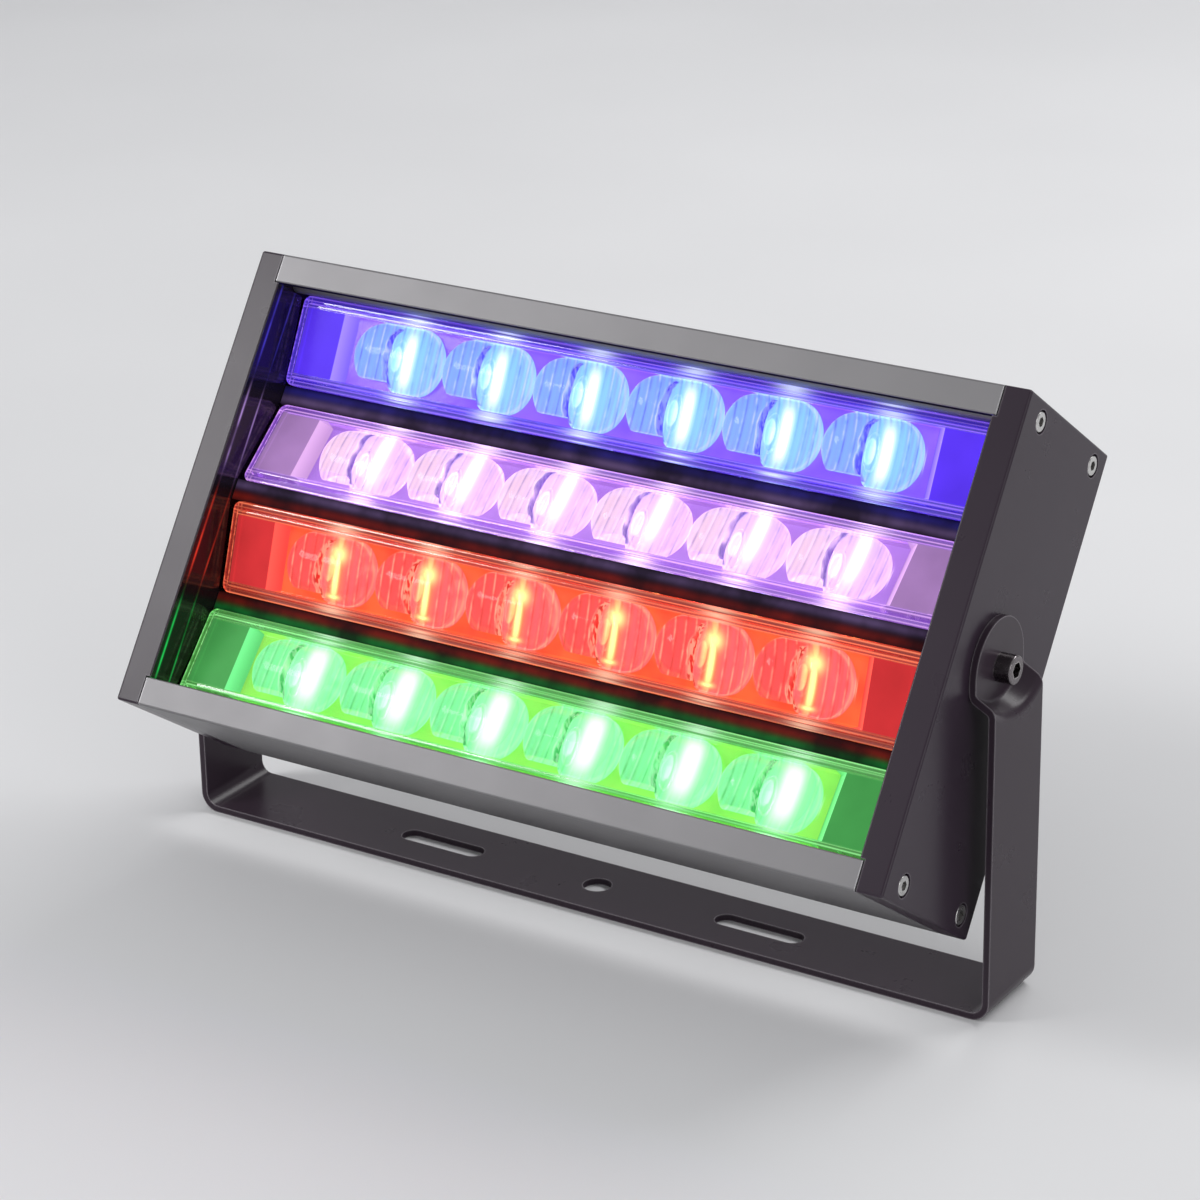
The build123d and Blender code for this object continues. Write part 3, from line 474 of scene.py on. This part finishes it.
def inside_opening(s):
    """1 on the walls that the front opening shows, 0 on all others."""
    x, y, a = s.local(HEAD)
    half, reach, front, back = OPENING
    masks = []
    out = s.times(y, -1.0)
    for value, limit in ((s.size(x), half), (s.size(a), reach), (out, front)):
        masks.append(s.spread(value, limit - 0.0001, limit, 1.0, 0.0))
    return s.times(*masks, s.spread(out, back - 0.0001, back, 0.0, 1.0))


def end_wall(s, value):
    """The value on the end walls of the opening, and 0 between them."""
    x = s.local(HEAD)[0]
    return s.spread(s.size(x), WALL_X, WALL_X + 0.0004, 0.0, value)


def spilled_light(s):
    """Painted light of the bars on the dark walls: along each bar, and in lines on the end walls.
    """
    y, a = s.local(HEAD)[1:]
    wall = end_wall(s, 1.0)
    bright, faint = (s.hump(s.times(y, -1.0), b, width) for b, width in WALL_LINES)
    lines = s.math("ADD", bright, s.times(faint, 0.6))
    ragged = s.spread(s.noise(60.0, 3.0), 0.35, 0.65, 0.2, 1.0)
    total = None
    for name, (middle, _) in BARS.items():
        off = s.size(s.math("SUBTRACT", a, middle))
        along = s.times(s.hump(off, 0.0180, 0.0016), s.inverse(wall), 0.13)
        end = s.times(s.hump(off, 0.0, 0.0150, 4.0), wall, lines, 0.75)
        amount = s.times(s.math("ADD", along, end), ragged)
        lit = s.mix(amount, (0.0, 0.0, 0.0), LOOKS[name]["shine"])
        total = lit if total is None else s.vector("ADD", "Vector", total, lit)
    return total


def powder(name, colour, rough, metallic, edge_highlight, lined=False):
    """Powder coat with fine orange peel and painted highlights on its edges; if lined, black
    inside the opening, with the bars' light painted on it as glow.
    """
    s = Shader(name)
    tone = s.ramp(s.noise(22.0, 4.0), 0.3, 0.7, colour, tuple(c * 1.05 for c in colour))
    # Painted highlight: a lighter tone near each convex edge.
    highlight_tone = tuple(min(1.0, c * 2.5 + 0.22) for c in colour)
    tone = s.mix(s.times(s.edge(0.0009), edge_highlight), tone, highlight_tone)
    gloss = s.spread(s.noise(60.0, 5.0), 0.3, 0.7, rough * 0.97, rough * 1.03)
    sheen = SHEEN
    if lined:
        inside = inside_opening(s)
        tone = s.mix(inside, tone, LINING)
        gloss = s.times(gloss, s.spread(inside, 0.0, 1.0, 1.0, 0.5))
        sheen = s.spread(inside, 0.0, 1.0, SHEEN, end_wall(s, 0.5))
        metallic = s.spread(inside, 0.0, 1.0, metallic, 0.0)
        # The bars' light painted on the walls of the opening as glow.
        s.set(Emission_Color=spilled_light(s), Emission_Strength=inside)
    s.set(Base_Color=tone, Roughness=gloss, Specular_IOR_Level=sheen, Metallic=metallic)
    s.bump(s.noise(1300.0), 0.00002, 0.2)
    return s.material


def steel(name, colour, rough=0.28, edge_highlight=0.0):
    """Bright or blackened metal, mottled, with painted highlights on its edges."""
    s = Shader(name)
    tone = s.ramp(s.noise(900.0, 3.0), 0.3, 0.7, tuple(c * 0.82 for c in colour), colour)
    if edge_highlight:
        # Painted highlight: bright colour near each convex edge.
        tone = s.mix(s.times(s.edge(0.0007), edge_highlight), tone, STEEL_HIGHLIGHT)
    gloss = s.spread(s.noise(500.0, 3.0), 0.3, 0.7, rough * 0.8, rough * 1.3)
    s.set(Base_Color=tone, Roughness=gloss, Metallic=1.0)
    s.bump(s.noise(3000.0), 0.00002, 0.35)
    return s.material


def plastic(name, colour, rough):
    """Moulded plastic or rubber, lightly grained."""
    s = Shader(name)
    tone = s.ramp(s.noise(120.0, 3.0), 0.35, 0.65, tuple(c * 0.85 for c in colour), colour)
    gloss = s.spread(s.noise(260.0, 3.0), 0.3, 0.7, rough * 0.85, min(1.0, rough * 1.15))
    s.set(Base_Color=tone, Roughness=gloss)
    s.bump(s.noise(1800.0), 0.00003, 0.5)
    return s.material


class Bar:
    """Where a point lies on a bar: along it, across it and out of it, and from its lens."""

    def __init__(self, s, name):
        self.x, inward, self.v = s.local(bar_matrix(name))
        self.w = s.times(inward, -1.0)
        cell = s.math("ADD", s.math("DIVIDE", self.x, LENS_PITCH), 100.0)
        offset = s.math("SUBTRACT", s.math("FRACT", cell), 0.5)
        self.along = s.times(offset, LENS_PITCH)
        self.between = s.spread(s.size(self.x), RECESS_X - 0.0002, RECESS_X, 1.0, 0.0)
        self.within = s.spread(s.size(self.x), ROW_X - 0.0003, ROW_X - 0.0001, 1.0, 0.0)


class Plate(Bar):
    """Which part of a lens plate a point lies on: each part is 1 there and 0 elsewhere."""

    def __init__(self, s, name):
        super().__init__(s, name)
        self.rise = s.math("SUBTRACT", self.w, FLOOR_W)
        past = s.math("MAXIMUM", s.math("SUBTRACT", s.size(self.along), LOBE_X), 0.0)
        lobe_x, lobe_v = s.math("DIVIDE", past, LOBE_R), s.math("DIVIDE", self.v, LOBE_V)
        self.oval = s.math("ADD", s.times(lobe_x, lobe_x), s.times(lobe_v, lobe_v))
        self.left = s.spread(self.along, -0.0001, 0.0001, 1.0, 0.0)
        cut = s.times(self.left, s.spread(self.v, CUT_V - 0.0002, CUT_V, 1.0, 0.0))
        whole = s.spread(self.oval, 0.99, 1.03, 1.0, 0.0)
        self.lens = s.times(whole, self.within, s.inverse(cut))
        self.lean = s.math("SUBTRACT", s.times(self.along, LEAN[0]), s.times(self.rise, LEAN[1]))
        self.drift = s.noise(170.0)
        wander = s.spread(s.noise(150.0, 1.0, (0.2, 1.0, 1.0)), 0.3, 0.7, -0.0006, 0.0006)
        self.bent = s.math("ADD", self.along, wander)
        high = s.spread(self.rise, SLIT_FOOT - 0.0004, SLIT_FOOT + 0.0002, 0.0, 1.0)
        self.slit = s.times(s.hump(self.bent, 0.0, SLIT_HALF, 4.0), self.lens, high)
        far_v = s.spread(s.size(self.v), RIM_V, RIM_V + 0.0003, 0.0, 1.0)
        far_x = s.spread(s.size(self.x), RIM_X, RIM_X + 0.0005, 0.0, 1.0)
        self.rim = s.math("MAXIMUM", far_v, far_x)
        self.outside = s.inverse(self.between)
        self.block = s.times(self.outside, s.inverse(self.rim))


def lens_colour(s, plate, look):
    """Painted light of the sunk floor and the lenses on it, with faint painted waves, painted
    bright outlines, and ribs painted as lines of highlight and shade.
    """
    # Painted light of the floor, brighter in patches.
    patchy_light = s.spread(s.noise(70.0), 0.35, 0.65, 0.0, 0.5)
    colour = s.mix(patchy_light, look["floor"], look["floor_near"])
    # Painted glint where neighbouring lenses touch.
    seam = s.hump(s.size(plate.along), LENS_PITCH / 2, 0.0007)
    touch = s.times(seam, s.hump(plate.v, 0.0, 0.0028), plate.within)
    colour = s.mix(touch, colour, look["glint"])
    # Faint painted waves of light across each lens.
    waves = s.spread(s.math("SINE", s.times(plate.lean, WAVES)), -1.0, 1.0, 0.0, 0.30)
    waves = s.times(waves, s.spread(plate.oval, 0.1, 0.8, 0.3, 1.0))
    lobe = s.mix(waves, s.mix(plate.left, look["right"], look["left"]), look["floor"])
    colour = s.mix(plate.lens, colour, lobe)
    # Painted bright outline round each lens.
    outline = s.times(s.hump(plate.oval, 0.95, 0.035), plate.lens, 0.35)
    colour = s.mix(outline, colour, look["glint"])
    rib = s.math("FRACT", s.math("ADD", s.math("DIVIDE", plate.lean, RIB_PITCH), 50.0))
    # Painted highlight along some ribs.
    rib_highlights = s.times(
        s.hump(rib, 0.5, 0.09), plate.lens, s.spread(plate.drift, 0.40, 0.62, 0.0, 0.60)
    )
    colour = s.mix(rib_highlights, colour, look["glint"])
    # Painted shade along some ribs.
    rib_shade = s.times(
        s.hump(rib, 0.68, 0.09), plate.lens, s.spread(plate.drift, 0.35, 0.60, 0.60, 0.15)
    )
    return s.mix(rib_shade, colour, look["slit"])


def add_core(s, plate, look, colour):
    """Adds the painted bright bar of LED light in each lens, with its painted halo."""
    middle, width, centre, tall = look["core"]

    def patch(half, v, reach, power_x=2.0, power_v=2.0):
        across = s.hump(plate.lean, middle, half, power_x)
        return s.times(across, s.hump(plate.v, v, reach, power_v), plate.lens)

    halo = patch(width * 2.1, centre, tall * 1.1, power_v=4.0)
    colour = s.mix(halo, colour, look["halo"])
    core = patch(width, centre, tall, 3.0, 4.0)
    if look["star"]:
        top = patch(width * 2.4, 0.0066, 0.0027)
        foot = patch(width * 1.7, -0.0088, 0.0010)
        core = s.math("MAXIMUM", core, s.math("MAXIMUM", top, foot))
    return s.mix(core, colour, look["white"])


def add_slit(s, plate, look, colour):
    """Adds the slit across each lens, painted darker as shade, with painted sparks of light in it
    and beside it.
    """
    sparkle = s.spread(s.noise(800.0, 1.0, (1.0, 1.0, 0.4)), 0.44, 0.54, 0.0, look["sparkle"])
    colour = s.mix(plate.slit, colour, s.mix(sparkle, look["slit"], look["glint"]))
    beside = s.times(
        s.hump(plate.bent, -0.0016, 0.0003), s.hump(plate.v, -0.0010, 0.0075, 4.0), plate.lens
    )
    broken = s.spread(plate.drift, 0.4, 0.6, 0.2, 0.9)
    return s.mix(s.times(beside, broken), colour, look["glint"])


def add_ends(s, plate, look, colour):
    """Adds the end blocks' painted light, darker in patches, and the brighter painted light on the
    slopes up to them.
    """
    # Painted light of the end blocks, darker in patches.
    patchy_light = s.spread(s.noise(45.0, 3.0), 0.3, 0.7, 0.0, 0.55)
    end = s.mix(patchy_light, look["end"], tuple(c * 0.45 for c in look["end"]))
    colour = s.mix(plate.outside, colour, end)
    middle, half = SLOPE_X
    off = s.size(s.math("SUBTRACT", s.size(plate.x), middle))
    slope = s.spread(off, half, half + 0.0002, 1.0, 0.0)
    low = s.spread(plate.w, BLOCK_W + 0.0001, BLOCK_W + 0.0004, 1.0, 0.0)
    # Painted highlight on the slopes, brightening towards the end blocks.
    facet = s.spread(s.size(plate.x), 0.1185, 0.1214, 0.50, 1.0)
    return s.mix(s.times(slope, low, facet), colour, look["slope"])


def add_rim(s, plate, look, colour):
    """Adds the rim, with painted light lines along it and the lenses' light painted on it where it
    spills.
    """
    lines = 0.0
    for value, marks in ((s.size(plate.v), RIM_LINES_V), (s.size(plate.x), RIM_LINES_X)):
        for middle, width in marks:
            lines = s.math("MAXIMUM", s.hump(value, middle, width), lines)
    broken = s.spread(s.noise(500.0, 3.0, (0.012, 1.0, 1.0)), 0.35, 0.60, 0.15, 1.0)
    rim = s.mix(s.times(lines, broken), look["rim"], look["rim_line"])
    streaks = s.spread(s.noise(900.0, 2.0, (0.015, 1.0, 1.0)), 0.40, 0.52, 0.1, 0.9)
    spill = s.times(s.hump(plate.lean, look["core"][0], 0.0050), streaks, plate.between)
    return s.mix(plate.rim, colour, s.mix(spill, rim, look["glint"]))


def lens_plate(name, look):
    """Clear moulding of glass, with the light of the LEDs under it painted on as glow."""
    s = Shader(f"{name}_lens")
    plate = Plate(s, name)
    colour = lens_colour(s, plate, look)
    for add in (add_core, add_slit, add_ends, add_rim):
        colour = add(s, plate, look, colour)
    # The plate's painted light: glow on all of it but its underside.
    front = s.spread(plate.w, FLOOR_W - 0.0006, FLOOR_W - 0.0003, 0.0, 1.0)
    s.set(Emission_Color=colour, Emission_Strength=s.times(front, look["strength"]))
    body = s.mix(plate.block, look["tint"], tuple(c * 0.5 for c in look["end"]))
    # The end blocks are frosted. The slit is painted dark as shade, in its colour and with less
    # light let through.
    frost_and_slit_shade = s.math("MAXIMUM", plate.block, s.times(plate.slit, 0.8))
    s.set(
        Base_Color=s.mix(s.times(plate.slit, 0.7), body, look["slit"]),
        IOR=1.5,
        Roughness=s.spread(plate.block, 0.0, 1.0, 0.05, 0.22),
        Specular_IOR_Level=s.spread(plate.rim, 0.0, 1.0, 0.10, 0.5),
        Specular_Tint=s.mix(plate.rim, (0.20, 0.20, 0.20), (1.0, 1.0, 1.0)),
        Transmission_Weight=s.spread(frost_and_slit_shade, 0.0, 1.0, 0.75, 0.05),
    )
    s.bump(s.noise(300.0), 0.00003, 0.25)
    return s.material


def board(name, look):
    """White board under the lenses, with the LEDs' light painted on round each one as glow."""
    s = Shader(f"{name}_board")
    bar = Bar(s, name)
    # Painted glow of the LED light on the board, strongest round each LED.
    near = s.times(s.hump(bar.along, 0.0, 0.008), s.hump(bar.v, 0.0, 0.009), bar.between)
    strength = s.spread(near, 0.0, 1.0, BOARD_STRENGTH * 0.05, BOARD_STRENGTH)
    s.set(Base_Color=(0.22, 0.22, 0.22), Roughness=0.5)
    s.set(Emission_Color=look["shine"], Emission_Strength=strength)
    return s.material


def led(name, look):
    """Lit LED with a yellowish face."""
    s = Shader(f"{name}_led")
    s.set(Base_Color=(0.9, 0.85, 0.6), Roughness=0.3)
    s.set(Emission_Color=look["halo"], Emission_Strength=LED_STRENGTH)
    return s.material


finishes = {
    "bracket": powder("bracket_coat", (0.032, 0.021, 0.031), 0.28, 0.0, 0.80),
    "housing": powder("housing_coat", (0.210, 0.205, 0.212), 0.45, 0.50, 0.60, lined=True),
    "cap": powder("cap_coat", (0.032, 0.021, 0.033), 0.28, 0.0, 0.60, lined=True),
    "stainless": steel("stainless", (0.62, 0.61, 0.60)),
    "black_bolt": steel("black_bolt", (0.19, 0.17, 0.18), 0.24, 0.85),
    "brass": steel("insert_brass", (0.80, 0.60, 0.30)),
    "nylon": plastic("washer_nylon", (0.80, 0.79, 0.74), 0.5),
    "rubber": plastic("seal_rubber", (0.025, 0.025, 0.025), 0.7),
    "control": plastic("control_laminate", (0.02, 0.16, 0.07), 0.35),
    "tray": steel("tray_aluminium", (0.66, 0.66, 0.67), 0.4),
    "driver": steel("driver_case", (0.50, 0.51, 0.53), 0.45),
    "terminal": plastic("terminal_plastic", (0.75, 0.75, 0.72), 0.4),
    "wire": plastic("wire_pvc", (0.40, 0.04, 0.03), 0.45),
    "gland": plastic("gland_nylon", (0.030, 0.030, 0.033), 0.42),
}
for colour, look in LOOKS.items():
    for kind, make in (("lens", lens_plate), ("board", board), ("led", led)):
        finishes[f"{colour}_{kind}"] = make(colour, look)

# Each node's finish, by how its name ends. In the last three, * is the bar's colour.
FINISH_BY_ENDING = {
    "bracket": "bracket",
    "housing": "housing",
    "gear_tray": "tray",
    "driver": "driver",
    "control_board": "control",
    "control_spacers": "nylon",
    "terminal_block": "terminal",
    "wiring": "wire",
    "gland_body": "gland",
    "gland_locknut": "gland",
    "gland_seal": "rubber",
    "gland_dome_nut": "gland",
    "vent_plug": "gland",
    "vent_nut": "gland",
    "_end_cap": "cap",
    "_gasket": "rubber",
    "_screws": "stainless",
    "_pivot_bolt": "black_bolt",
    "_friction_washer": "nylon",
    "_pivot_insert": "brass",
    "_lens_plate": "*_lens",
    "_led_board": "*_board",
    "_leds": "*_led",
}


def dress():
    """Gives every node its finish."""
    for name, node in nodes.items():
        found = [kind for ending, kind in FINISH_BY_ENDING.items() if name.endswith(ending)]
        finish = found[0].replace("*", name.split("_")[0])
        node.data.materials.clear()
        node.data.materials.append(finishes[finish])


# Floor, light and camera.


def backdrop():
    """Pale sweep: floor that curves up into a wall behind."""
    near, far, bend, top, half, steps = -3.0, 1.6, 0.8, 3.5, 4.0, 12
    line = [(near, 0.0)]
    for i in range(steps + 1):
        angle = math.pi / 2 * i / steps
        line.append((far + bend * math.sin(angle), bend - bend * math.cos(angle)))
    line.append((far + bend, top))
    verts = [(x, y, z) for y, z in line for x in (-half, half)]
    faces = [(2 * i, 2 * i + 1, 2 * i + 3, 2 * i + 2) for i in range(len(line) - 1)]
    mesh = bpy.data.meshes.new("studio_floor")
    mesh.from_pydata(verts, [], faces)
    mesh.shade_smooth()
    floor = bpy.data.objects.new("studio_floor", mesh)
    scene.collection.objects.link(floor)
    s = Shader("studio_paper")
    paper = s.ramp(s.noise(3.0), 0.3, 0.7, (0.74, 0.74, 0.75), (0.78, 0.78, 0.79))
    s.set(Base_Color=paper, Roughness=0.75)
    mesh.materials.append(s.material)
    floor.rotation_euler = (0, 0, math.radians(32.9))


def area(name, location, size, power):
    """Softbox turned to the middle of the lamp."""
    data = bpy.data.lights.new(name, "AREA")
    data.shape = "RECTANGLE"
    data.size, data.size_y = size
    data.energy = power
    light = bpy.data.objects.new(name, data)
    light.location = location
    shines = Vector((0, 0, 0.1)) - Vector(location)
    light.rotation_euler = shines.to_track_quat("-Z", "Y").to_euler()
    scene.collection.objects.link(light)


def studio():
    """Pale air, brighter to the camera than on the lamp, and three softboxes."""
    world = bpy.data.worlds.new("studio_air")
    scene.world = world
    world.use_nodes = True
    tree = world.node_tree
    back = tree.nodes["Background"]
    back.inputs["Color"].default_value = (0.92, 0.93, 0.95, 1.0)
    seen = tree.nodes.new("ShaderNodeMapRange")
    seen.inputs["To Min"].default_value = 0.45
    seen.inputs["To Max"].default_value = 0.68
    path = tree.nodes.new("ShaderNodeLightPath")
    tree.links.new(path.outputs["Is Camera Ray"], seen.inputs["Value"])
    tree.links.new(seen.outputs["Result"], back.inputs["Strength"])
    area("key", (-1.45, -1.2, 1.3), (0.8, 0.5), 19.0)
    area("fill", (1.8, -0.9, 0.9), (1.0, 1.0), 8.0)
    area("rim", (0.4, 1.3, 1.4), (1.6, 0.5), 16.0)


def camera():
    """The photograph's camera, fitted to the lamp's edges."""
    azimuth, elevation, roll = (math.radians(v) for v in (32.919, 22.187, -1.015))
    focal, distance = 3825.44, 1.36785
    shift_right, shift_up = 0.0010675, 0.1043143
    pixels, centre = 1200.0, (600.386, 599.262)
    level = math.cos(elevation)
    back = Vector((math.sin(azimuth) * level, -math.cos(azimuth) * level, math.sin(elevation)))
    right = Vector((math.cos(azimuth), math.sin(azimuth), 0))
    up = back.cross(right)
    right, up = (
        math.cos(roll) * right + math.sin(roll) * up,
        math.cos(roll) * up - math.sin(roll) * right,
    )
    data = bpy.data.cameras.new("photo_camera")
    data.sensor_fit = "HORIZONTAL"
    data.sensor_width = 36.0
    data.lens = focal / pixels * data.sensor_width
    data.shift_x = (pixels / 2 - centre[0]) / pixels
    data.shift_y = (centre[1] - pixels / 2) / pixels
    data.clip_start = 0.05
    eye = bpy.data.objects.new("photo_camera", data)
    turn = Matrix((right, up, back)).transposed().to_4x4()
    spot = shift_right * right + shift_up * up + distance * back
    eye.matrix_world = Matrix.Translation(spot) @ turn
    scene.collection.objects.link(eye)
    scene.camera = eye


dress()
lens_plates()
backdrop()
studio()
camera()
scene.view_settings.view_transform = "Standard"
